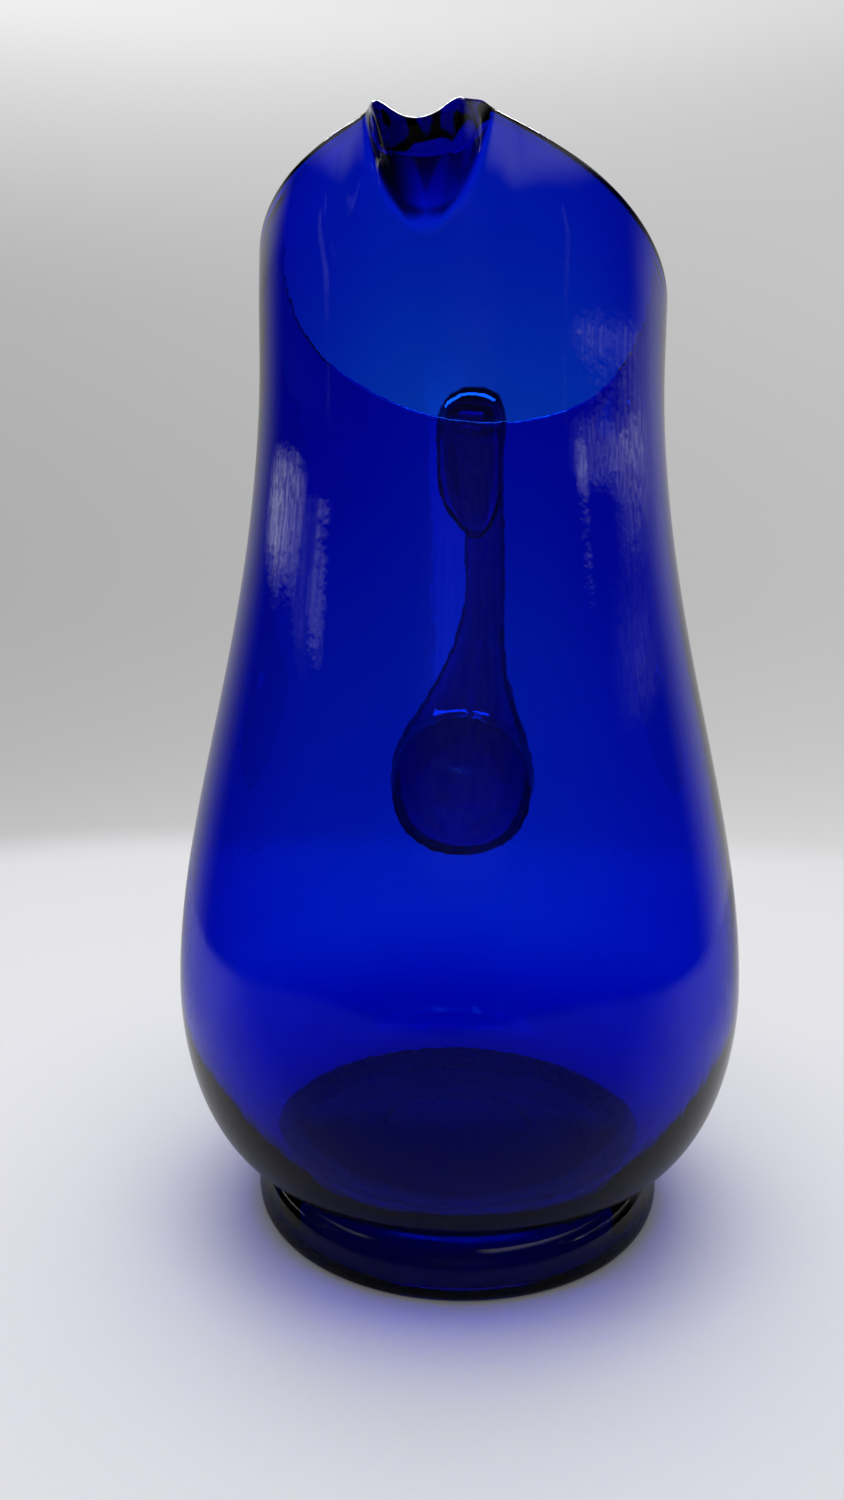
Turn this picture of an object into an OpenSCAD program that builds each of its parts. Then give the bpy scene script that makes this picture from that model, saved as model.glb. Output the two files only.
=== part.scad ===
// Cobalt-blue hand-blown glass pitcher with a slanted rim.
// Three pieces of glass, joined hot: a blown vessel, an applied foot and a pulled handle.
// The origin is at the middle of the foot's underside. +Z is up, the pouring lip points to -Y
// and the handle to +Y.

/* [Overall] */
// Height of the slanted rim at the front; the lip's corners stand about 1 mm higher
height = 243.8; // [230:0.1:255]

/* [Foot] */
// Largest radius of the foot
foot_r = 50.3; // [49:0.1:54]
// Height of the foot, up to the seam under the vessel
foot_h = 14; // [12:0.5:16]
// Radius of the seam, where the vessel sits on the foot
seam_r = 43.7; // [40:0.1:46]
// Outer radius of the flat ring that the pitcher rests on
rest_r = 48; // [47:0.1:48.5]
// Radius of the hollow under the foot
hollow_r = 39; // [36:0.1:43]
// Depth of the hollow under the foot
hollow_h = 9; // [5:0.1:10]
// Radius of the ground and polished pontil mark
pontil_r = 19; // [10:0.5:24]
// Depth of the pontil mark
pontil_d = 1; // [0.5:0.1:1.5]

/* [Vessel] */
// Largest radius of the belly
belly_r = 68; // [62:0.1:72]
// Height of the widest part of the belly
belly_z = 58; // [50:1:66]
// Smallest radius of the neck
neck_r = 45.9; // [43:0.1:50]
// Height of the narrowest part of the neck
neck_z = 203; // [196:1:208]
// Thickness of the blown wall at the neck
wall = 3; // [2.5:0.1:4]
// How much thicker the wall grows from the neck up to the rim
rim_thick = 1.3; // [0:0.1:1.5]
// How much thinner the wall is at the belly, where the glass is blown out furthest
belly_thin = 0.8; // [0:0.1:1.2]
// Extra thickness of the wall where it meets the foot
wall_extra = 2; // [0:0.1:2.5]
// How far the middle of the floor stands above its edge
floor_rise = 0.8; // [0:0.1:2]

/* [Rim and lip] */
// Height of the rim at the back, above the handle
back_h = 197; // [194:0.5:206]
// How much higher the left of the rim is than its middle
rim_lean = 3.6; // [0:0.1:5]
// Radius of the mouth at its sides
mouth_r = 46.3; // [44:0.1:50]
// How much shorter the mouth is than it is wide, on each side
mouth_oval = 1.9; // [0:0.1:3]
// How far the mouth leans back, towards the handle
mouth_shift = 3.6; // [0:0.1:5]
// How far the neck bows forward under the mouth
neck_bow = 1.5; // [0:0.1:2]
// How far the rim rolls in at the front, beside the lip
rim_roll = 2.2; // [0:0.1:2.5]
// How far the lip is pulled out
lip_reach = 10; // [5:0.5:12]
// How far its channel is pulled out inside; the rest is thick glass
lip_inner = 3; // [2.5:0.1:6]
// Height of the lip's throat, from its lowest point to the rim
lip_h = 17; // [12:0.5:20]
// Direction of the lip, to the left of straight ahead (degrees)
lip_turn = 4.5; // [0:0.5:8]
// Half of the angle that the lip takes up, seen from above
lip_angle = 19; // [16:0.5:22]
// Drop of the rim from the lip's corners to its middle
lip_dip = 3; // [1:0.1:4]
// How far the rim is pinched in beside the lip
lip_pinch = 1; // [0:0.1:2]

/* [Handle] */
// Radius of the round pad where the handle joins the belly
pad_r = 21.5; // [19:0.5:23]
// Half of the width of the strap that the hand holds
strap_w = 6.6; // [6:0.1:9]
// Sideways offset of the pad from the strap
pad_x = -4.7; // [-6:0.1:0]
// How far the handle is melted into the wall of the vessel
melt = 0.4; // [0.3:0.05:1]

/* [Smoothness] */
// Number of points around the vessel
vessel_sides = 72; // [60:4:84]
// Number of points around the handle
handle_sides = 28; // [16:4:32]

/* [Hidden] */

COBALT = [0.02, 0.06, 0.72, 0.6];

// Shape of the belly below its widest part: two exponents of a rounded outline
BELLY_FALL = 1.85;
BELLY_ROUND = 6;
// Exponent that sets where the side sweeps in from belly to neck
SHOULDER = 0.91;
// Height at which the belly's outline would close, below its widest part
belly_drop = (belly_z - foot_h) / pow(1 - pow(seam_r / belly_r, BELLY_ROUND), 1 / BELLY_FALL);

// The rim's middle height, and how far it rises to the front and falls to the back
rim_mid = (height + back_h) / 2;
rim_fall = (height - back_h) / 2;
// How far the lip pulls the rim down at its corners, and the rim's rise just beside them
CORNER_DROP = 1.6;
CORNER_RISE = 1.9;
// Angles from the middle of the lip to its corners, and to the rim's highest point
LIP_CORNER = 9;
RIM_TOP = 18;
// Angles at which the lip's sides start and end at the bottom of its throat
THROAT_IN = 1;
THROAT_OUT = 10;
// How much narrower the channel is inside, so that the lip's sides are thick glass
LIP_NARROW = 7;
// Height over which the rim rolls in
ROLL_H = 16;
// Height at which the neck starts to lean back into the mouth
lean_z = 170;
// Share of the way up the side at which the belly is widest
BELLY_S = 0.3;
// Rows of points below and above the belly's widest part, and around the rim
LOW_ROWS = 8;
HIGH_ROWS = 20;
RIM_ROWS = 5;
// Rows inside the mouth that keep the outer spacing, so that the lip stays smooth
LIP_ROWS = 6;
FLOOR_ROWS = 3;
THICK_H = 40; // height over which the thick bottom thins out to the plain wall

// Stations of the handle, from the pad to the tongue on the neck:
// inner edge [y, z], outer edge [y, z], half width, x
STATIONS = [
    [61.0, 92 + pad_r, 66.4, 91 - pad_r, pad_r + 1, pad_x],
    [64.0, 114.6, 72.0, 71.8, pad_r + 1.3, pad_x],
    [66.6, 116.3, 77.2, 80.0, pad_r + 0.5, pad_x],
    [69.6, 119.0, 79.4, 92.0, pad_r - 2, 0.9 * pad_x],
    [73.2, 123.0, 82.0, 104.5, 15.5, 0.76 * pad_x],
    [78.0, 129.5, 86.6, 117.0, 11.9, 0.55 * pad_x],
    [83.3, 138.0, 92.5, 129.0, 9.1, 0.28 * pad_x],
    [87.8, 149.0, 98.6, 143.0, strap_w + 0.6, 0],
    [91.0, 163.0, 100.8, 161.0, strap_w, 0.3],
    [90.0, 177.0, 99.2, 180.5, strap_w + 0.2, 0],
    [84.8, 189.0, 92.8, 195.5, strap_w + 0.4, -0.4],
    [76.5, 197.5, 81.5, 206.0, strap_w + 0.6, -0.9],
    [67.5, 200.8, 67.5, 210.0, strap_w + 1.2, -1.2],
    [60.7, 198.8, 57.0, 207.0, strap_w + 2.4, -1.2],
    [56.8, 194.0, 50.0, 200.5, strap_w + 3.4, -1.2],
    [54.8, 188.5, 47.0, 194.0, strap_w + 3.3, -1.3],
    [53.4, 181.5, 45.5, 186.0, strap_w + 3.1, -1.2],
    [51.9, 174.5, 45.5, 177.0, strap_w + 1.9, -0.7],
    [50.2, 169.5, 45.5, 170.5, 5.4, 0],
    [48.4, 166.2, 46.5, 166.4, 2, 0.4],
];
STEPS = 3; // rings for each stretch between two stations

// 0 below 0, 1 above 1, and a smooth curve between
function ease(t) = t <= 0 ? 0 : t >= 1 ? 1 : t * t * (3 - 2 * t);

// Angle from the middle of the lip, from 0 to 180
function from_lip(a) = abs(((a + 90 + lip_turn + 540) % 360) - 180);

// Outer radius of the plain round body at height z
function body_radius(z) = z < belly_z
    ? belly_r * pow(max(0, 1 - pow((belly_z - z) / belly_drop, BELLY_FALL)), 1 / BELLY_ROUND)
    : neck_r + (belly_r - neck_r)
        * (1 + cos(180 * pow(min(1, (z - belly_z) / (neck_z - belly_z)), SHOULDER))) / 2;

// How far the lip has opened at height z: 0 at its throat, 1 at the rim
function lip_open(a, z) = max(0, min(1.2, (z - rim_edge(a) + lip_h) / lip_h));

// How far the lip is pushed out at this point. It narrows downwards, into its throat. Its channel
// is narrower and less flared than its outside, which leaves thick glass at the lip.
function lip_push(a, z, inside) = let (
    open = lip_open(a, z),
    narrow = inside ? LIP_NARROW * min(1, 2.5 * open) : 0,
    inner = THROAT_IN + (LIP_CORNER - THROAT_IN) * sqrt(open),
    outer = THROAT_OUT + (lip_angle - THROAT_OUT) * sqrt(open),
    side = max(0, min(1, (from_lip(a) + narrow - inner) / (outer - inner)))
) (1 - ease(pow(side, 0.7))) * (inside ? lip_inner : lip_reach) * pow(open, 1.4);

// Height of the middle of the rim's edge
function rim_edge(a) = let (f = from_lip(a))
    rim_mid - rim_fall * sin(a) - rim_lean * cos(a) - wall / 2
    + CORNER_RISE * exp(-pow((f - RIM_TOP) / 10, 2))
    - CORNER_DROP * (1 - ease((f - LIP_CORNER) / 7))
    - lip_dip * (1 + cos(180 * pow(min(1, f / LIP_CORNER), 1.3))) / 2;

// Radius of the mouth, with no lip
function mouth_radius(a) =
    mouth_r - mouth_oval * pow(sin(a), 2) + mouth_shift * sin(a);

// Outer radius of the vessel at angle a and height z, with no lip
function shell_radius(a, z) = let (
    lean = ease((z - lean_z) / (rim_edge(a) - lean_z)),
    pinch = exp(-pow((from_lip(a) - 22) / 5, 2)) * ease((z - rim_edge(a) + 30) / 30),
    roll = rim_roll * (1 - ease((from_lip(a) - 25) / 65)),
    near = max(0, min(1.1, (z - rim_edge(a) + ROLL_H) / ROLL_H)),
    bow = neck_bow * sin(a)
) body_radius(z) - bow * ease((z - 105) / 85)
    + lean * (mouth_radius(a) + roll + bow - neck_r) - roll * near * near - lip_pinch * pinch;

// Height of a point s of the way up the side, from 0 at the seam to 1 at the rim
function side_z(a, s) = s < BELLY_S
    ? foot_h + (belly_z - foot_h) * pow(s / BELLY_S, 1.7)
    : let (g = 1 - pow(1 - (s - BELLY_S) / (1 - BELLY_S), 1.7))
        belly_z + (rim_mid - belly_z) * g + (rim_edge(a) - rim_mid) * pow(g, 3);

function plain_point(a, s) = let (z = side_z(a, s), r = shell_radius(a, z))
    [r * cos(a), r * sin(a), z];
function outward(a) = [cos(a), sin(a), 0];
function outer_point(a, s) = plain_point(a, s) + lip_push(a, side_z(a, s), false) * outward(a);

function unit(v) = v / norm(v);
function plain_up(a, s) = unit(plain_point(a, min(1, s + 0.01)) - plain_point(a, max(0, s - 0.01)));
function plain_out(a, s) =
    unit(cross(plain_point(a + 0.3, s) - plain_point(a - 0.3, s), plain_up(a, s)));

// The wall is thinnest at the belly, and thickens towards the foot and the rim
function wall_at(z) = wall - belly_thin * ease((neck_z - z) / 75)
    + wall_extra * (1 - ease((z - foot_h) / THICK_H)) + rim_thick * ease((z - 185) / 50);
function inner_point(a, s) = let (z = side_z(a, s))
    plain_point(a, s) - wall_at(z) * plain_out(a, s) + lip_push(a, z, true) * outward(a);

// Point on the fire-polished rim: turn is 0 outside, 90 on top and 180 inside
function rim_point(a, turn) = let (
    out = outer_point(a, 1),
    in = inner_point(a, 1),
    up = unit(outer_point(a, 1) - outer_point(a, 0.99))
) (out + in) / 2 + cos(turn) * (out - in) / 2 + sin(turn) * wall / 2 * up;

// Point on the floor, from share = 1 at its edge to 0 at its middle
function floor_point(a, share) = let (edge = inner_point(a, 0))
    [edge.x * share, edge.y * share, edge.z + floor_rise * (1 - share * share)];

// Faces of a closed skin over rings of n points, with a pole point before and after them.
// The rings run counter-clockwise, seen from the end that they lead to.
function skin_faces(rings, n) = concat(
    [for (i = [0:n - 1]) [0, 1 + i, 1 + (i + 1) % n]],
    [for (j = [0:rings - 2], i = [0:n - 1])
        let (p = 1 + j * n, k = (i + 1) % n)
        each [[p + i, p + n + i, p + k], [p + k, p + n + i, p + n + k]]],
    [for (i = [0:n - 1])
        let (p = 1 + (rings - 1) * n)
        [p + i, p + n, p + (i + 1) % n]]
);

module skin(first, rings, last, sides) {
    polyhedron(
        points = concat([first], [for (ring = rings) each ring], [last]),
        faces = skin_faces(len(rings), sides)
    );
}

// The blown vessel: its side, its rim with the pinched lip, its inside and its floor
module vessel() {
    half = vessel_sides / 2;
    // the points stand closer together at the lip
    angles = [for (i = [-half:half - 1]) -90 - lip_turn + 180 * sign(i) * pow(abs(i) / half, 1.7)];
    low = [for (k = [0:LOW_ROWS - 1]) BELLY_S * k / LOW_ROWS];
    high = [for (k = [0:HIGH_ROWS]) BELLY_S + (1 - BELLY_S) * k / HIGH_ROWS];
    inside = concat(
        [for (k = [HIGH_ROWS:-1:0]) if (k > HIGH_ROWS - LIP_ROWS || k % 2 == 0) high[k]],
        [for (k = [LOW_ROWS - 2:-2:0]) low[k]]
    );
    rings = concat(
        [for (s = concat(low, high)) [for (a = angles) outer_point(a, s)]],
        [for (k = [1:RIM_ROWS]) [for (a = angles) rim_point(a, 180 * k / (RIM_ROWS + 1))]],
        [for (s = inside) [for (a = angles) inner_point(a, s)]],
        [for (k = [FLOOR_ROWS:-1:1]) [for (a = angles) floor_point(a, k / (FLOOR_ROWS + 1))]]
    );
    color(COBALT) skin([0, 0, foot_h], rings, floor_point(0, 0), vessel_sides);
}

// The applied foot: a thick rounded disc, hollowed underneath, with a polished pontil mark
module foot() {
    widest_z = 5; // height of the foot's largest radius
    shoulder = [for (t = [0:9:90])
        [seam_r + (foot_r - seam_r) * sin(t), widest_z + (foot_h - widest_z) * cos(t)]];
    edge = [for (t = [10:10:90])
        [rest_r + (foot_r - rest_r) * cos(t), widest_z - widest_z * sin(t)]];
    hollow = [for (t = [0:6:84])
        let (r = hollow_r + (pontil_r - hollow_r) * t / 84)
        [r, hollow_h * sqrt(1 - pow(r / hollow_r, 4))]];
    pontil = [for (r = [pontil_r:-pontil_r / 5:0])
        [r, hollow_h + pontil_d - (pontil_d * 0.7) * pow(r / pontil_r, 2)]];
    color(COBALT) rotate_extrude($fn = 96)
        polygon(concat([[0, foot_h]], shoulder, edge, hollow, pontil));
}

// Cubic curve through the rows p of numbers, between rows i and i + 1
function curve(p, i, t) = let (
    n = len(p),
    b = p[i],
    c = p[i + 1],
    a = i > 0 ? p[i - 1] : 2 * b - c,
    d = i + 2 < n ? p[i + 2] : 2 * c - b
) (2 * b + (c - a) * t + (2 * a - 5 * b + 4 * c - d) * t * t
    + (3 * b - a - 3 * c + d) * t * t * t) / 2;

// Moves a point out to just under the vessel's surface, and onto it where seat is 1
function on_vessel(p, seat) = let (
    r = norm([p.x, p.y]),
    least = shell_radius(atan2(p.y, p.x), p.z) - melt,
    k = (least + max(0, r - least) * (1 - seat)) / r
) [p.x * k, p.y * k, p.z];

// Oval ring of the handle at a station, lying on the vessel as far as seat says
function handle_ring(st, seat) = [for (i = [0:handle_sides - 1]) let (
    t = 360 * i / handle_sides,
    u = (1 - cos(t)) / 2
) on_vessel([st[5] + st[4] * sin(t), st[0] + (st[2] - st[0]) * u, st[1] + (st[3] - st[1]) * u], seat)];

function ring_middle(ring) = let (n = len(ring)) (ring[0] + ring[n / 2]) / 2;

// The handle: one bit of glass, from the round pad up the strap and down to the tongue
module handle() {
    last = len(STATIONS) - 1;
    rings = concat(
        [for (i = [0:last - 1], k = [0:STEPS - 1])
            handle_ring(curve(STATIONS, i, k / STEPS), i == 0 ? 1 - k / STEPS : 0)],
        [handle_ring(STATIONS[last], 0)]
    );
    pad_middle = on_vessel(ring_middle(rings[0]), 1);
    tip = ring_middle(rings[len(rings) - 1]) - [0, 0, 0.7];
    color(COBALT) skin(pad_middle, rings, on_vessel(tip, 0), handle_sides);
}

vessel();
foot();
handle();
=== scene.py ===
"""Cobalt-blue hand-blown glass pitcher on a pale table, in soft studio light."""
import math

import bpy
import numpy as np
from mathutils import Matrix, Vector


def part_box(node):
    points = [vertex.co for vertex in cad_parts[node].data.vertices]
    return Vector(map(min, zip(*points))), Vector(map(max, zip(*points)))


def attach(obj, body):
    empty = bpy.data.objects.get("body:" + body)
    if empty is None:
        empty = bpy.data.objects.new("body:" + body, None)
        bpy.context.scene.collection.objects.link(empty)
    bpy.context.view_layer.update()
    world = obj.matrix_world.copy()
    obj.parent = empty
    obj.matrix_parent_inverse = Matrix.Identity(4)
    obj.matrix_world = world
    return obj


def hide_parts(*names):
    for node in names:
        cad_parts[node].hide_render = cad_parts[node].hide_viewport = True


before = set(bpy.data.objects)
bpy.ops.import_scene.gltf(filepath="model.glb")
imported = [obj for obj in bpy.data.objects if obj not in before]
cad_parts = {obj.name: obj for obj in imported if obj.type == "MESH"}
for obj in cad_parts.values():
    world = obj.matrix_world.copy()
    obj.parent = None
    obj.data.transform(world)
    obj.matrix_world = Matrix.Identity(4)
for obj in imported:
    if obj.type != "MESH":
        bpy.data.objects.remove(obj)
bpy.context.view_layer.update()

MM = 0.001

# ---------------------------------------------------------------------------------------------
# Shape. Lengths are in millimetres here and become metres when a mesh is made. Angles are in
# degrees, counter-clockwise from +X as seen from above.
# ---------------------------------------------------------------------------------------------
FOOT_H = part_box("foot")[1].z / MM   # up to the seam under the vessel
FOOT_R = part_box("foot")[1].x / MM   # largest radius of the foot
WIDEST_Z = 5.0      # height of the foot's largest radius
SEAM_R = 43.7       # seam where the vessel sits on the foot
REST_R = 48.0       # outside of the flat ring that the pitcher rests on
HOLLOW_R = 39.0     # hollow inside that ring
HOLLOW_H = 9.0
HOLLOW_ROUND = 0.6  # rounding between the ring and the hollow
PONTIL_R = 19.0     # ground and polished mark in the middle of the hollow
PONTIL_D = 1.0
PONTIL_STEP = 0.8   # width of the slope at its edge

BELLY_R = 68.0      # largest radius of the belly, at height BELLY_Z
BELLY_Z = 58.0
BELLY_FALL = 1.85   # two exponents of the rounded outline below it
BELLY_ROUND = 6.0
BELLY_S = 0.3       # share of the way up the side at which the belly is widest
NECK_R = 45.9       # smallest radius of the neck, at height NECK_Z
NECK_Z = 203.0
SHOULDER = 0.91     # exponent that sets where the side sweeps in from belly to neck
# height at which the belly's outline would close, below its widest part
BELLY_DROP = (BELLY_Z - FOOT_H) / (1 - (SEAM_R / BELLY_R) ** BELLY_ROUND) ** (1 / BELLY_FALL)

WALL = 3.0          # thickness at the neck
BELLY_THIN = 0.8    # how much thinner it is at the belly
WALL_EXTRA = 2.0    # how much thicker at the foot, thinning out over the height THICK_H
THICK_H = 40.0
RIM_THICK = 1.3     # how much thicker at the rim
FLOOR_RISE = 0.8    # how far the middle of the floor stands above its edge
CORNER_R = 2.5      # rounding between the inside and the floor

FRONT_H = 243.8     # height of the slanted rim at the front and at the back
BACK_H = 197.0
RIM_MID = (FRONT_H + BACK_H) / 2
RIM_FALL = (FRONT_H - BACK_H) / 2
RIM_LEAN = 3.6      # how much higher the left of the rim is than its middle
MOUTH_R = 46.3      # radius of the mouth at its sides
MOUTH_OVAL = 1.9    # how much shorter the mouth is than it is wide, on each side
MOUTH_SHIFT = 3.6   # how far the mouth leans back, from height LEAN_Z up
LEAN_Z = 170.0
NECK_BOW = 1.5      # how far the neck bows forward under the mouth
RIM_ROLL = 2.2      # how far the rim rolls in beside the lip, over the height ROLL_H
ROLL_H = 16.0

LIP_TURN = 4.5      # direction of the lip, to the left of straight ahead
LIP_REACH = 10.0    # how far it is pulled out
LIP_INNER = 3.0     # how far its channel is pulled out
LIP_NARROW = 7.0    # how much narrower its channel is; the rest is thick glass
LIP_H = 17.0        # from its throat up to the rim
LIP_ANGLE = 19.0    # half of the angle that it takes up at the rim
LIP_CORNER = 9.0    # angle from its middle to its corners
LIP_DIP = 3.0       # drop of the rim from its corners to its middle
LIP_PINCH = 1.0     # how far the rim is pinched in beside it
THROAT_IN = 1.0     # angles at which its sides start and end at the bottom of its throat
THROAT_OUT = 10.0
CORNER_DROP = 1.6   # how far it pulls the rim down at its corners
CORNER_RISE = 1.9   # how far the rim rises at the angle RIM_TOP beside it
RIM_TOP = 18.0
BEAD = 1.5          # extra height of the round bead along its edge

PAD_R = 21.5        # round pad where the handle joins the belly
PAD_X = -4.7        # its sideways offset from the strap
STRAP_W = 6.6       # half of the strap's width
MELT = 0.12         # how far the handle is sunk into the vessel's wall
# the handle from the pad to the tongue: inner edge y, z, outer edge y, z, half width, x
STATIONS = np.array([
    (61.0, 92 + PAD_R, 66.4, 91 - PAD_R, PAD_R + 1.0, PAD_X),
    (64.0, 114.6, 72.0, 71.8, PAD_R + 1.3, PAD_X),
    (66.6, 116.3, 77.2, 80.0, PAD_R + 0.5, PAD_X),
    (69.6, 119.0, 79.4, 92.0, PAD_R - 2.0, 0.9 * PAD_X),
    (73.2, 123.0, 82.0, 104.5, 15.5, 0.76 * PAD_X),
    (78.0, 129.5, 86.6, 117.0, 11.9, 0.55 * PAD_X),
    (83.3, 138.0, 92.5, 129.0, 9.1, 0.28 * PAD_X),
    (87.8, 149.0, 98.6, 143.0, STRAP_W + 0.6, 0),
    (91.0, 163.0, 100.8, 161.0, STRAP_W, 0.3),
    (90.0, 177.0, 99.2, 180.5, STRAP_W + 0.2, 0),
    (84.8, 189.0, 92.8, 195.5, STRAP_W + 0.4, -0.4),
    (76.5, 197.5, 81.5, 206.0, STRAP_W + 0.6, -0.9),
    (67.5, 200.8, 67.5, 210.0, STRAP_W + 1.2, -1.2),
    (60.7, 198.8, 57.0, 207.0, STRAP_W + 2.4, -1.2),
    (56.8, 194.0, 50.0, 200.5, STRAP_W + 3.4, -1.2),
    (54.8, 188.5, 47.0, 194.0, STRAP_W + 3.3, -1.3),
    (53.4, 181.5, 45.5, 186.0, STRAP_W + 3.1, -1.2),
    (51.9, 174.5, 45.5, 177.0, STRAP_W + 1.9, -0.7),
    (50.2, 169.5, 45.5, 170.5, 5.4, 0.0),
    (48.4, 166.2, 46.5, 166.4, 2.0, 0.4),
])


def ease(t):
    """0 below 0, 1 above 1, and a smooth curve between."""
    t = np.clip(t, 0, 1)
    return t * t * (3 - 2 * t)


def from_lip(a):
    """Angle from the middle of the lip, 0 to 180."""
    return np.abs((a + 90 + LIP_TURN + 540) % 360 - 180)


def body_radius(z):
    """Outer radius of the plain round body at height z."""
    low = np.clip((BELLY_Z - z) / BELLY_DROP, 0, 1)
    belly = BELLY_R * (1 - low ** BELLY_FALL) ** (1 / BELLY_ROUND)
    high = np.clip((z - BELLY_Z) / (NECK_Z - BELLY_Z), 0, 1)
    side = NECK_R + (BELLY_R - NECK_R) * (1 + np.cos(np.pi * high ** SHOULDER)) / 2
    return np.where(z < BELLY_Z, belly, side)


def bead(a):
    """Extra height of the lip's round bead, which runs out beside its corners."""
    return BEAD * (1 - ease((from_lip(a) - LIP_CORNER) / 9))


def rim_edge(a):
    """Height of the middle of the rim's edge, which the round rim stands above."""
    f = from_lip(a)
    slant = -RIM_FALL * np.sin(np.radians(a)) - RIM_LEAN * np.cos(np.radians(a))
    corners = (CORNER_RISE * np.exp(-((f - RIM_TOP) / 10) ** 2)
               - CORNER_DROP * (1 - ease((f - LIP_CORNER) / 7)))
    dip = LIP_DIP * (1 + np.cos(np.pi * np.minimum(1, f / LIP_CORNER) ** 1.3)) / 2
    return RIM_MID + slant + corners - dip - WALL / 2 - 0.8 * bead(a)


def shell_radius(a, z):
    """Outer radius of the vessel at angle a and height z, with no lip."""
    rim = rim_edge(a)
    sin = np.sin(np.radians(a))
    mouth = MOUTH_R - MOUTH_OVAL * sin ** 2 + MOUTH_SHIFT * sin
    lean = ease((z - LEAN_Z) / (rim - LEAN_Z))
    pinch = np.exp(-((from_lip(a) - 22) / 5) ** 2) * ease((z - rim + 30) / 30)
    roll = RIM_ROLL * (1 - ease((from_lip(a) - 25) / 65))
    near = np.clip((z - rim + ROLL_H) / ROLL_H, 0, 1.1)
    bow = NECK_BOW * sin
    return (body_radius(z) - bow * ease((z - 105) / 85)
            + lean * (mouth + roll + bow - NECK_R) - roll * near ** 2 - LIP_PINCH * pinch)


def lip_push(a, z, inside):
    """How far the lip is pushed out here. Its channel is narrower and less flared than its outside,
    which leaves thick glass at the lip."""
    opened = np.clip((z - rim_edge(a) + LIP_H) / LIP_H, 0, 1.2)
    narrow = LIP_NARROW * np.minimum(1, 2.5 * opened) if inside else 0
    inner = THROAT_IN + (LIP_CORNER - THROAT_IN) * opened ** 0.5
    outer = THROAT_OUT + (LIP_ANGLE - THROAT_OUT) * opened ** 0.5
    side = np.clip((from_lip(a) + narrow - inner) / (outer - inner), 0, 1)
    flare = (LIP_INNER if inside else LIP_REACH) * opened ** 1.4
    return (1 - ease(side ** 0.7)) * flare


def side_z(a, s):
    """Height of a point s of the way up the side, from 0 at the seam to 1 at the rim."""
    low = FOOT_H + (BELLY_Z - FOOT_H) * (np.minimum(s, BELLY_S) / BELLY_S) ** 1.7
    g = 1 - (1 - np.clip((s - BELLY_S) / (1 - BELLY_S), 0, 1)) ** 1.7
    high = BELLY_Z + (RIM_MID - BELLY_Z) * g + (rim_edge(a) - RIM_MID) * g ** 3
    return np.where(s < BELLY_S, low, high)


def wall_at(z):
    """Thickness of the wall, which is thinnest at the belly and thickens to the foot and the rim."""
    blown = ease((NECK_Z - z) / 75)
    return (WALL - BELLY_THIN * blown + WALL_EXTRA * (1 - ease((z - FOOT_H) / THICK_H))
            + RIM_THICK * ease((z - 185) / 50))


def at(a, r, z):
    """Points at angle a, radius r and height z."""
    return np.stack([r * np.cos(np.radians(a)), r * np.sin(np.radians(a)), z + 0 * r], axis=-1)


def plain_point(a, s):
    """Point of the vessel's outer surface, with no lip."""
    z = side_z(a, s)
    return at(a, shell_radius(a, z), z)


def unit(v):
    return v / np.linalg.norm(v, axis=-1, keepdims=True)


def out_way(a, s):
    """Outward normal of the vessel's outer surface, with no lip."""
    up = plain_point(a, np.minimum(1, s + 0.01)) - plain_point(a, np.maximum(0, s - 0.01))
    return unit(np.cross(plain_point(a + 0.3, s) - plain_point(a - 0.3, s), up))


# ---------------------------------------------------------------------------------------------
# Mesh helpers
# ---------------------------------------------------------------------------------------------
def grid_mesh(name, first, rings, last):
    """Closed skin over rings (rows x columns x 3, in mm) with a pole point before and after them.
    The rings run counter-clockwise, seen from the end that they lead to."""
    rows, n = rings.shape[:2]
    points = np.vstack([[first], rings.reshape(-1, 3), [last]]) * MM
    i = np.arange(n)
    k = (i + 1) % n
    start = 1 + np.arange(rows - 1)[:, None] * n
    quads = np.stack([start + i, start + k, start + n + k, start + n + i], axis=-1).reshape(-1, 4)
    end = 1 + (rows - 1) * n
    faces = [(0, 1 + q, 1 + p) for p, q in zip(i.tolist(), k.tolist())]
    faces += quads.tolist()
    faces += [(end + p, end + q, end + n) for p, q in zip(i.tolist(), k.tolist())]
    mesh = bpy.data.meshes.new(name)
    mesh.from_pydata(points.tolist(), [], faces)
    mesh.update()
    mesh.shade_smooth()
    piece = bpy.data.objects.new(name, mesh)
    bpy.context.scene.collection.objects.link(piece)
    return piece


def waves(a, z, count, size, around, climb, seed):
    """Smooth random unevenness, in mm: waves with whole periods round the vessel."""
    draw = np.random.default_rng(seed)
    total = 0 * a
    for _ in range(count):
        periods = draw.integers(around[0], around[1] + 1)
        slope = draw.uniform(-climb, climb)
        total = total + np.sin(np.radians(a) * periods + z * slope + draw.uniform(0, 2 * np.pi))
    return size * total / math.sqrt(count)


def arc(cx, cz, rx, rz, start, end, count):
    """Points of an elliptic arc in the (r, z) plane."""
    t = np.radians(np.linspace(start, end, count))
    return np.stack([cx + rx * np.cos(t), cz + rz * np.sin(t)], axis=-1)


def revolve(profile, angles):
    """Rings of a profile of (r, z) rows turned about the axis."""
    r, z = profile[:, :1], profile[:, 1:]
    return at(angles[None, :], r + 0 * angles[None, :], z + 0 * angles[None, :])


# ---------------------------------------------------------------------------------------------
# Vessel
# ---------------------------------------------------------------------------------------------
def vessel_angles(count, crowd):
    """Angles round the vessel, counter-clockwise, closer together at the lip."""
    i = np.arange(-count // 2, count // 2)
    return -90 - LIP_TURN + 180 * np.sign(i) * (np.abs(i) / (count / 2)) ** crowd


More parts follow.
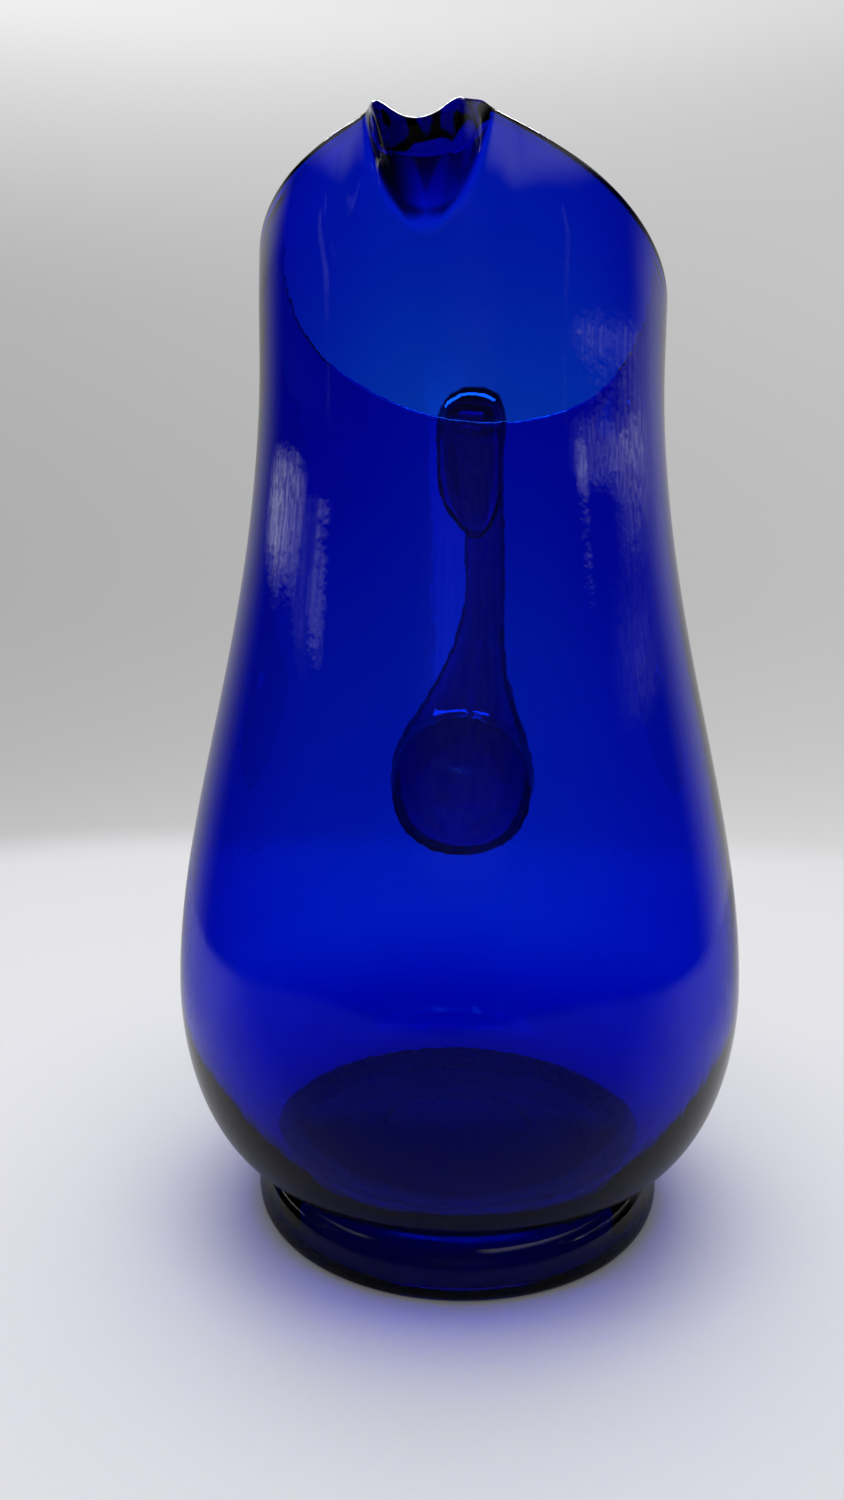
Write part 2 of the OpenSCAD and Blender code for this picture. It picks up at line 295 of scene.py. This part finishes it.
def make_rim(angles, edge_out, edge_in, up):
    """Fire-polished rim: rings of half a turn from the outer to the inner edge."""
    middle = (edge_out + edge_in) / 2
    turns = np.radians(180 * np.arange(1, 16) / 16)[:, None, None]
    height = (WALL / 2 + bead(angles))[:, None]
    return middle + np.cos(turns) * (edge_out - middle) + np.sin(turns) * height * up


def make_inside(angles, inner):
    """Rings of the inside from the rim down, a round corner, and the floor to its middle.
    Returns the rings and the floor's middle point."""
    corner = inner[0]
    corner_r = np.hypot(corner[:, 0], corner[:, 1])
    corner_z = corner[:, 2]

    def floor_ring(share):
        return at(angles, corner_r * share, corner_z + FLOOR_RISE * (1 - share ** 2))

    start = int(np.argmax(np.linalg.norm(inner - corner, axis=-1).mean(axis=1) > CORNER_R))
    end = 1 - CORNER_R / corner_r.mean()
    turn = [(1 - t) ** 2 * inner[start] + 2 * t * (1 - t) * corner + t ** 2 * floor_ring(end)
            for t in np.linspace(0, 1, 14)]
    floor = [floor_ring(share) for share in np.linspace(end, 0, 22)[1:-1]]
    return np.concatenate([inner[:start:-1], turn, floor]), (0, 0, corner_z.mean() + FLOOR_RISE)


def make_vessel():
    low_rows, high_rows = 60, 170
    angles = vessel_angles(320, 1.7)
    low = BELLY_S * np.arange(low_rows) / low_rows
    high = BELLY_S + (1 - BELLY_S) * np.arange(high_rows + 1) / high_rows
    a, s = np.meshgrid(angles, np.concatenate([low, high]))
    plain = plain_point(a, s)
    normal = out_way(a, s)
    outward = at(a, 1 + 0 * a, 0)
    z = plain[..., 2]
    # hand-blown unevenness: the same inside and outside, and a little of its own inside
    settle = ease((z - FOOT_H) / 30) * ease((RIM_MID + 40 - z) / 60)
    uneven = settle * waves(a, z, count=9, size=0.10, around=(2, 5), climb=0.03, seed=3)
    bubble = settle * waves(a, z, count=9, size=0.07, around=(3, 9), climb=0.06, seed=5)
    outer = plain + uneven[..., None] * normal + lip_push(a, z, False)[..., None] * outward
    depth = wall_at(z) - uneven + bubble
    inner = plain - depth[..., None] * normal + lip_push(a, z, True)[..., None] * outward

    # underneath, sunk a little into the foot
    sunk = FOOT_H - 0.3
    bottom = at(angles[None, :], np.linspace(0, SEAM_R - 1.5, 14)[1:, None] + 0 * angles, sunk)
    rim = make_rim(angles, outer[-1], inner[-1], unit(outer[-1] - outer[-3]))
    inside, floor_middle = make_inside(angles, inner)
    rings = np.concatenate([bottom, outer, rim, inside])
    return grid_mesh("pitcher_vessel", (0, 0, sunk), rings, floor_middle)


# ---------------------------------------------------------------------------------------------
# Foot
# ---------------------------------------------------------------------------------------------
def make_foot():
    """The profile runs from the middle of the pontil mark outwards, over the edge and in under
    the vessel."""
    top = np.stack([np.linspace(0, SEAM_R, 20)[1:-1], np.full(18, FOOT_H)], axis=-1)
    shoulder = arc(SEAM_R, WIDEST_Z, FOOT_R - SEAM_R, FOOT_H - WIDEST_Z, 90, 0, 24)
    edge = arc(REST_R, WIDEST_Z, FOOT_R - REST_R, WIDEST_Z, 0, -90, 20)[1:]
    inside_r = HOLLOW_R + HOLLOW_ROUND
    ring = np.stack([np.linspace(REST_R, inside_r, 6)[1:], np.zeros(5)], axis=-1)
    round_in = arc(inside_r, HOLLOW_ROUND, HOLLOW_ROUND, HOLLOW_ROUND, -90, -180, 6)[1:]
    r = HOLLOW_R + (PONTIL_R - HOLLOW_R) * np.linspace(0, 1, 40)[1:]
    rise = (HOLLOW_H - HOLLOW_ROUND) * np.sqrt(1 - (r / HOLLOW_R) ** 4)
    hollow = np.stack([r, HOLLOW_ROUND + rise], axis=-1)
    r = np.linspace(PONTIL_R - PONTIL_STEP, 0, 16)[:-1]
    pontil = np.stack([r, HOLLOW_H + PONTIL_D - 0.7 * PONTIL_D * (r / PONTIL_R) ** 2], axis=-1)
    profile = np.vstack([top, shoulder, edge, ring, round_in, hollow, pontil])[::-1]
    angles = np.arange(0, 360, 360 / 192)
    return grid_mesh("pitcher_foot", (0, 0, HOLLOW_H + PONTIL_D), revolve(profile, angles),
                     (0, 0, FOOT_H))


# ---------------------------------------------------------------------------------------------
# Handle
# ---------------------------------------------------------------------------------------------
def curve(rows, i, t):
    """Cubic curve through rows of numbers, between rows i and i + 1."""
    b, c = rows[i], rows[i + 1]
    a = rows[i - 1] if i > 0 else 2 * b - c
    d = rows[i + 2] if i + 2 < len(rows) else 2 * c - b
    return (2 * b + (c - a) * t + (2 * a - 5 * b + 4 * c - d) * t * t
            + (3 * b - a - 3 * c + d) * t ** 3) / 2


def on_vessel(p, seat):
    """Moves points out to just under the vessel's surface, and onto it where seat is 1."""
    r = np.hypot(p[..., 0], p[..., 1])
    least = shell_radius(np.degrees(np.arctan2(p[..., 1], p[..., 0])), p[..., 2]) - MELT
    k = (least + np.maximum(0, r - least) * (1 - seat)) / r
    return np.stack([p[..., 0] * k, p[..., 1] * k, p[..., 2]], axis=-1)


def handle_ring(st, seat, count):
    """Oval ring of the handle at a station, lying on the vessel as far as seat says."""
    t = 2 * np.pi * np.arange(count) / count
    u = (1 - np.cos(t)) / 2
    y = st[0] + (st[2] - st[0]) * u
    z = st[1] + (st[3] - st[1]) * u
    return on_vessel(np.stack([st[5] + st[4] * np.sin(t), y, z], axis=-1), seat)


def make_handle():
    """One bit of glass, from the round pad up the strap and down to the tongue."""
    count, steps = 96, 14
    last = len(STATIONS) - 1
    rings = [handle_ring(curve(STATIONS, i, k / steps), 1 - k / steps if i == 0 else 0, count)
             for i in range(last) for k in range(steps)]
    rings.append(handle_ring(STATIONS[last], 0, count))
    rings = np.array(rings)
    middle = (rings[0, 0] + rings[0, count // 2]) / 2
    shares = np.linspace(0, 1, 15)[1:-1, None, None]
    cap = on_vessel(middle + (rings[0] - middle) * shares, 1)
    tip = (rings[-1, 0] + rings[-1, count // 2]) / 2 - (0, 0, 0.7)
    return grid_mesh("pitcher_handle", on_vessel(middle, 1), np.concatenate([cap, rings]),
                     on_vessel(tip, 0))


# ---------------------------------------------------------------------------------------------
# Node helpers
# ---------------------------------------------------------------------------------------------
def add_node(tree, kind, **inputs):
    """A node with some of its inputs set; _ in a name stands for a space."""
    made = tree.nodes.new(kind)
    for name, value in inputs.items():
        made.inputs[name.replace("_", " ")].default_value = value
    return made


def step(tree, value, start, end):
    """0 before start, 1 after end, and a smooth curve between."""
    made = add_node(tree, "ShaderNodeMapRange", From_Min=start, From_Max=end)
    made.interpolation_type = "SMOOTHSTEP"
    tree.links.new(value, made.inputs["Value"])
    return made.outputs[0]


def grey(tree, value):
    """The colour with the same value in all three channels."""
    made = tree.nodes.new("ShaderNodeCombineColor")
    for socket in made.inputs:
        tree.links.new(value, socket)
    return made.outputs[0]


def mix_colors(tree, share, first, second):
    """first where share is 0 and second where it is 1. Each is a colour or the socket to link."""
    made = tree.nodes.new("ShaderNodeMix")
    made.data_type = "RGBA"
    tree.links.new(share, made.inputs[0])
    for socket, color in ((made.inputs[6], first), (made.inputs[7], second)):
        if isinstance(color, bpy.types.NodeSocket):
            tree.links.new(color, socket)
        else:
            socket.default_value = color
    return made.outputs[2]


class Maths:
    """Sums with the values of one node tree. Each value is a number or the socket to link."""

    def __init__(self, tree):
        self.tree = tree

    def work_out(self, what, *values):
        made = self.tree.nodes.new("ShaderNodeMath")
        made.operation = what
        for socket, value in zip(made.inputs, values):
            if isinstance(value, bpy.types.NodeSocket):
                self.tree.links.new(value, socket)
            else:
                socket.default_value = value
        return made.outputs[0]

    def add(self, a, b):
        return self.work_out("ADD", a, b)

    def subtract(self, a, b):
        return self.work_out("SUBTRACT", a, b)

    def times(self, a, b, *more):
        product = self.work_out("MULTIPLY", a, b)
        for value in more:
            product = self.work_out("MULTIPLY", product, value)
        return product

    def divide(self, a, b):
        return self.work_out("DIVIDE", a, b)

    def most(self, a, b):
        return self.work_out("MAXIMUM", a, b)

    def size(self, a):
        return self.work_out("ABSOLUTE", a)

    def rounded_box(self, a, b, power):
        """Distance from the middle of a box with rounded corners, 1 at its edge. a and b are the
        distances along and across it, as shares of its half sizes."""
        powers = [self.work_out("POWER", self.size(value), power) for value in (a, b)]
        return self.work_out("POWER", self.add(*powers), 1 / power)


# ---------------------------------------------------------------------------------------------
# Glass
# ---------------------------------------------------------------------------------------------
ABSORB_COLOR = (0.023, 0.558, 0.953, 1)
ABSORB_DENSITY = 2150
PEEL_SCALE = 260.0      # fine orange peel of the blown surface, per metre
STREAK_SCALE = 420.0    # streaks drawn out upwards, per metre across them
STREAK_LENGTH = 0.16    # their scale along their length, as a share of that
BUMP_HEIGHT = 0.000025


def make_glass():
    """Clear cobalt glass, which absorbs light by its real thickness."""
    material = bpy.data.materials.new("cobalt_glass")
    material.use_nodes = True
    tree = material.node_tree
    tree.nodes.clear()
    link = tree.links.new
    maths = Maths(tree)
    out = tree.nodes.new("ShaderNodeOutputMaterial")
    glass = add_node(tree, "ShaderNodeBsdfPrincipled", Base_Color=(1, 1, 1, 1), Roughness=0.0,
                     IOR=1.5, Transmission_Weight=1.0)
    link(glass.outputs[0], out.inputs["Surface"])
    volume = add_node(tree, "ShaderNodeVolumeAbsorption", Color=ABSORB_COLOR, Density=ABSORB_DENSITY)
    link(volume.outputs[0], out.inputs["Volume"])

    place = tree.nodes.new("ShaderNodeTexCoord").outputs["Object"]
    peel = add_node(tree, "ShaderNodeTexNoise", Scale=PEEL_SCALE, Detail=2.0, Roughness=0.55)
    link(place, peel.inputs["Vector"])
    stretch = add_node(tree, "ShaderNodeMapping", Scale=(1, 1, STREAK_LENGTH))
    link(place, stretch.inputs["Vector"])
    streaks = add_node(tree, "ShaderNodeTexNoise", Scale=STREAK_SCALE, Detail=1.0)
    link(stretch.outputs[0], streaks.inputs["Vector"])
    height = maths.add(maths.times(peel.outputs[0], 0.6), maths.times(streaks.outputs[0], 0.4))
    bump = add_node(tree, "ShaderNodeBump", Strength=1.0, Distance=BUMP_HEIGHT)
    link(height, bump.inputs["Height"])
    link(bump.outputs[0], glass.inputs["Normal"])
    return material


# ---------------------------------------------------------------------------------------------
# Table
# ---------------------------------------------------------------------------------------------
TABLE_HALF = 0.6                        # half of its size, in metres
TABLE_FADE = (0.31, 0.41)               # distance at which it fades into the wall behind it
TABLE_COLOR = (0.80, 0.80, 0.83, 1)


def make_table():
    corners = [(-TABLE_HALF, -TABLE_HALF, 0), (TABLE_HALF, -TABLE_HALF, 0),
               (TABLE_HALF, TABLE_HALF, 0), (-TABLE_HALF, TABLE_HALF, 0)]
    mesh = bpy.data.meshes.new("floor")
    mesh.from_pydata(corners, [], [(0, 1, 2, 3)])
    mesh.materials.append(make_pale_table())
    floor = bpy.data.objects.new("floor", mesh)
    bpy.context.scene.collection.objects.link(floor)


def make_pale_table():
    material = bpy.data.materials.new("pale_table")
    material.use_nodes = True
    tree = material.node_tree
    tree.nodes.clear()
    link = tree.links.new
    maths = Maths(tree)
    out = tree.nodes.new("ShaderNodeOutputMaterial")
    table = add_node(tree, "ShaderNodeBsdfPrincipled", Roughness=0.6, Specular_IOR_Level=0.2)
    clear = tree.nodes.new("ShaderNodeBsdfTransparent")
    place = tree.nodes.new("ShaderNodeSeparateXYZ")
    link(tree.nodes.new("ShaderNodeTexCoord").outputs["Object"], place.inputs[0])
    x, y = place.outputs["X"], place.outputs["Y"]

    # painted shade in reflections: for rays that the glass mirrors, the table's colour is darkened,
    # most at its front and less at its sides, in place of the dark room in front
    front = step(tree, y, 0.10, -0.13)
    aside = step(tree, maths.size(x), 0.11, 0.22)
    shaded_part = maths.most(front, maths.times(aside, 0.45))
    mirrored = tree.nodes.new("ShaderNodeLightPath").outputs["Is Reflection Ray"]
    # painted shade: the table's colour darkened towards black where the glass mirrors it
    painted_reflection_shade = maths.times(mirrored, maths.add(maths.times(shaded_part, 0.6), 0.32))
    link(mix_colors(tree, painted_reflection_shade, TABLE_COLOR, (0, 0, 0, 1)), table.inputs["Base Color"])

    fade = add_node(tree, "ShaderNodeMapRange", From_Min=TABLE_FADE[0], From_Max=TABLE_FADE[1])
    fade.interpolation_type = "SMOOTHERSTEP"
    link(maths.rounded_box(x, y, 4.0), fade.inputs["Value"])
    mix = tree.nodes.new("ShaderNodeMixShader")
    link(fade.outputs[0], mix.inputs[0])
    link(table.outputs[0], mix.inputs[1])
    link(clear.outputs[0], mix.inputs[2])
    link(mix.outputs[0], out.inputs["Surface"])
    return material


# ---------------------------------------------------------------------------------------------
# World: the pale wall, the room that the glass mirrors, and the light on the table. Elevations
# are in degrees. Azimuths too: 0 is towards -Y, where the camera is, and 90 is towards +X.
# ---------------------------------------------------------------------------------------------
# elevation and sRGB grey level of the wall
WALL_LEVELS = [(-30, 228), (-14, 205), (-10, 190), (-6, 185), (-2, 180), (5, 181), (12, 187),
               (15, 191), (18, 200), (21, 212), (24, 236), (27, 222), (31, 60), (37, 8)]

# windows and pale surfaces: azimuth, elevation, half sizes, elevation per degree of azimuth,
# softness, radiance
WINDOWS = [
    (-102, 11.05, 15, 1.3, 0.10, 0.35, 1.00),
    (-109, 9.3, 9, 0.7, 0.08, 0.60, 0.50),
    (-84, 11.9, 8, 0.7, 0.03, 0.80, 0.18),
    (-71, 13.0, 5, 0.5, 0.05, 0.60, 0.60),
    (74, 15.7, 3.5, 1.3, -0.09, 0.40, 1.00),
    (84, 15.7, 14, 1.3, -0.09, 0.40, 0.45),
    (112, 12.3, 16, 1.8, -0.10, 0.45, 0.50),
    (112, 13.1, 16, 0.7, -0.10, 0.45, 0.35),
    (100, 9.6, 12, 1.2, -0.10, 0.80, 0.16),
    (7, 15.0, 17, 8.0, 0.0, 0.50, 0.05),
    (-66, 25.0, 1.6, 2.6, 0.0, 0.60, 0.16),
    (-72, 20.5, 1.8, 2.6, 0.0, 0.60, 0.20),
    (65, 23.5, 1.4, 3.6, 0.0, 0.60, 0.18),
]


def srgb(value):
    """Linear value of an sRGB level from 0 to 255."""
    v = value / 255
    return v / 12.92 if v <= 0.04045 else ((v + 0.055) / 1.055) ** 2.4


def wall_color(tree, elevation):
    """Grey of the pale wall, by elevation."""
    maths = Maths(tree)
    low, high = WALL_LEVELS[0][0], WALL_LEVELS[-1][0]
    ramp = tree.nodes.new("ShaderNodeValToRGB")
    ramp.color_ramp.interpolation = "B_SPLINE"
    elements = ramp.color_ramp.elements
    while len(elements) < len(WALL_LEVELS):
        elements.new(0.5)
    for element, (degrees, level) in zip(elements, WALL_LEVELS):
        element.position = (degrees - low) / (high - low)
        element.color = (srgb(level), srgb(level), srgb(level) * 1.01, 1)
    tree.links.new(maths.divide(maths.subtract(elevation, low), high - low), ramp.inputs[0])
    return ramp.outputs[0]


def wall_level(tree, x, azimuth, elevation, mirrored, table_light):
    """Brightness of the wall: 1 all over, but for the changes below."""
    maths = Maths(tree)
    # a little brighter at the top left and at the middle right
    across = maths.divide(maths.add(x, 0.118), 0.33)
    tilt = maths.subtract(0.09, maths.times(step(tree, elevation, 11, 24), 0.21))
    level = maths.add(1.02, maths.times(across, tilt))
    # a bright upright strip, which shows through the glass beside the handle
    strip = maths.times(step(tree, maths.size(maths.add(azimuth, 174.5)), 1.5, 1.0),
                        step(tree, elevation, 12, 5), step(tree, elevation, -16, -4))
    level = maths.times(level, maths.add(1.0, maths.times(strip, 0.45)))
    # dimmer where the glass mirrors it, and where it lights the table through the glass
    level = maths.times(level, maths.subtract(1.0, maths.times(mirrored, 0.22)))
    return maths.times(level, maths.subtract(1.0, maths.times(table_light, 0.35)))


def room_level(tree, azimuth, elevation):
    """Brightness of the dark room: its pale ceiling to the sides, and its windows."""
    maths = Maths(tree)
    beside = step(tree, maths.size(maths.add(azimuth, 15)), 30, 44)
    ceiling = maths.times(step(tree, elevation, 31, 42), 0.85,
                          maths.times(beside, step(tree, elevation, 56, 48)))
    room = maths.add(0.006, ceiling)
    # curtains make the windows streaky
    place = tree.nodes.new("ShaderNodeCombineXYZ")
    tree.links.new(maths.divide(azimuth, 2.2), place.inputs[0])
    tree.links.new(maths.divide(elevation, 0.6), place.inputs[1])
    curtain = add_node(tree, "ShaderNodeTexNoise", Scale=1.0, Detail=4.0, Roughness=0.65)
    tree.links.new(place.outputs[0], curtain.inputs["Vector"])
    folds = maths.add(0.45, maths.times(1.1, step(tree, curtain.outputs[0], 0.36, 0.66)))
    for middle, height, half_width, half_height, slope, soft, glow in WINDOWS:
        along = maths.subtract(azimuth, middle)
        above = maths.subtract(maths.subtract(elevation, height), maths.times(along, slope))
        reach = maths.rounded_box(maths.divide(along, half_width),
                                  maths.divide(above, half_height), 3.0)
        pane = maths.times(folds, maths.times(step(tree, reach, 1 + soft, 1 - soft), glow))
        room = maths.add(room, pane)
    return room


def make_world():
    world = bpy.data.worlds.new("studio")
    bpy.context.scene.world = world
    world.use_nodes = True
    tree = world.node_tree
    tree.nodes.clear()
    link = tree.links.new
    maths = Maths(tree)
    direction = tree.nodes.new("ShaderNodeSeparateXYZ")
    link(tree.nodes.new("ShaderNodeTexCoord").outputs["Generated"], direction.inputs[0])
    x, y, z = direction.outputs
    elevation = maths.work_out("DEGREES", maths.work_out("ARCSINE", z))
    azimuth = maths.work_out("DEGREES", maths.work_out("ARCTAN2", x, maths.times(y, -1.0)))
    ray = tree.nodes.new("ShaderNodeLightPath").outputs

    # light that has left the table and passes the glass on its way to the wall
    table_light = maths.work_out("GREATER_THAN", ray["Diffuse Depth"], 0.5)
    straight = maths.times(ray["Is Transmission Ray"], maths.subtract(1.0, table_light))
    # the camera sees the wall all round, also through the glass; the glass mirrors it only behind
    # the pitcher, and the dark room in front
    through = maths.most(ray["Is Camera Ray"], straight)
    sees_wall = maths.most(through, step(tree, maths.size(azimuth), 109, 142))
    wall = tree.nodes.new("ShaderNodeVectorMath")
    wall.operation = "SCALE"
    link(wall_color(tree, elevation), wall.inputs[0])
    link(wall_level(tree, x, azimuth, elevation, ray["Is Reflection Ray"], table_light),
         wall.inputs["Scale"])
    room = grey(tree, room_level(tree, azimuth, elevation))
    seen = mix_colors(tree, sees_wall, room, wall.outputs[0])

    # the light on the table comes a little more from the front
    sky = maths.add(0.40, maths.times(step(tree, y, 0.5, -0.7), 0.06))
    background = tree.nodes.new("ShaderNodeBackground")
    link(mix_colors(tree, ray["Is Diffuse Ray"], seen, grey(tree, sky)), background.inputs[0])
    link(background.outputs[0], tree.nodes.new("ShaderNodeOutputWorld").inputs[0])


# ---------------------------------------------------------------------------------------------
# Lamps and camera, in metres, watts and degrees
# ---------------------------------------------------------------------------------------------
def area_lamp(name, width, depth, watts, location, tilt):
    """A lamp that faces down, tilted about X, and that the camera doesn't see."""
    light = bpy.data.lights.new(name, "AREA")
    light.shape = "RECTANGLE"
    light.size = width
    light.size_y = depth
    light.energy = watts
    lamp = bpy.data.objects.new(name, light)
    lamp.location = location
    lamp.rotation_euler = (math.radians(tilt), 0, 0)
    lamp.visible_camera = False
    bpy.context.scene.collection.objects.link(lamp)
    return lamp


def make_lamps():
    softbox = area_lamp("overhead_softbox", 1.0, 1.0, 11.4, (0, 0.05, 1.25), -2)
    softbox.visible_glossy = False
    # the small bright lamp that only the glass edges mirror
    ceiling = area_lamp("ceiling_lamp", 0.9, 0.2, 14.0, (-0.14, 0.45, 0.95), -30)
    ceiling.visible_diffuse = False
    ceiling.visible_transmission = False


def make_camera():
    data = bpy.data.cameras.new("camera")
    data.lens = 27.05
    data.sensor_width = 36.0
    camera = bpy.data.objects.new("camera", data)
    camera.location = (0.0232, -0.2699, 0.1575)
    looks_down, turned_left = 9.26, 6.8
    camera.rotation_euler = (math.radians(90 - looks_down), 0, math.radians(turned_left))
    bpy.context.scene.collection.objects.link(camera)
    bpy.context.scene.camera = camera


def set_cycles():
    """Plain colours, and enough bounces for light to pass all the walls of glass."""
    scene = bpy.context.scene
    scene.view_settings.view_transform = "Standard"
    scene.view_settings.look = "None"
    cycles = scene.cycles
    cycles.use_denoising = True
    cycles.max_bounces = 28
    cycles.transmission_bounces = 28
    cycles.glossy_bounces = 12
    cycles.diffuse_bounces = 4
    cycles.transparent_max_bounces = 12
    cycles.caustics_reflective = False
    cycles.caustics_refractive = True
    cycles.blur_glossy = 0.0


glass = make_glass()
for piece, node in ((make_vessel(), "vessel"), (make_foot(), "foot"), (make_handle(), "handle")):
    piece.data.materials.append(glass)
    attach(piece, "root")
    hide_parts(node)

make_table()
make_world()
make_lamps()
make_camera()
set_cycles()
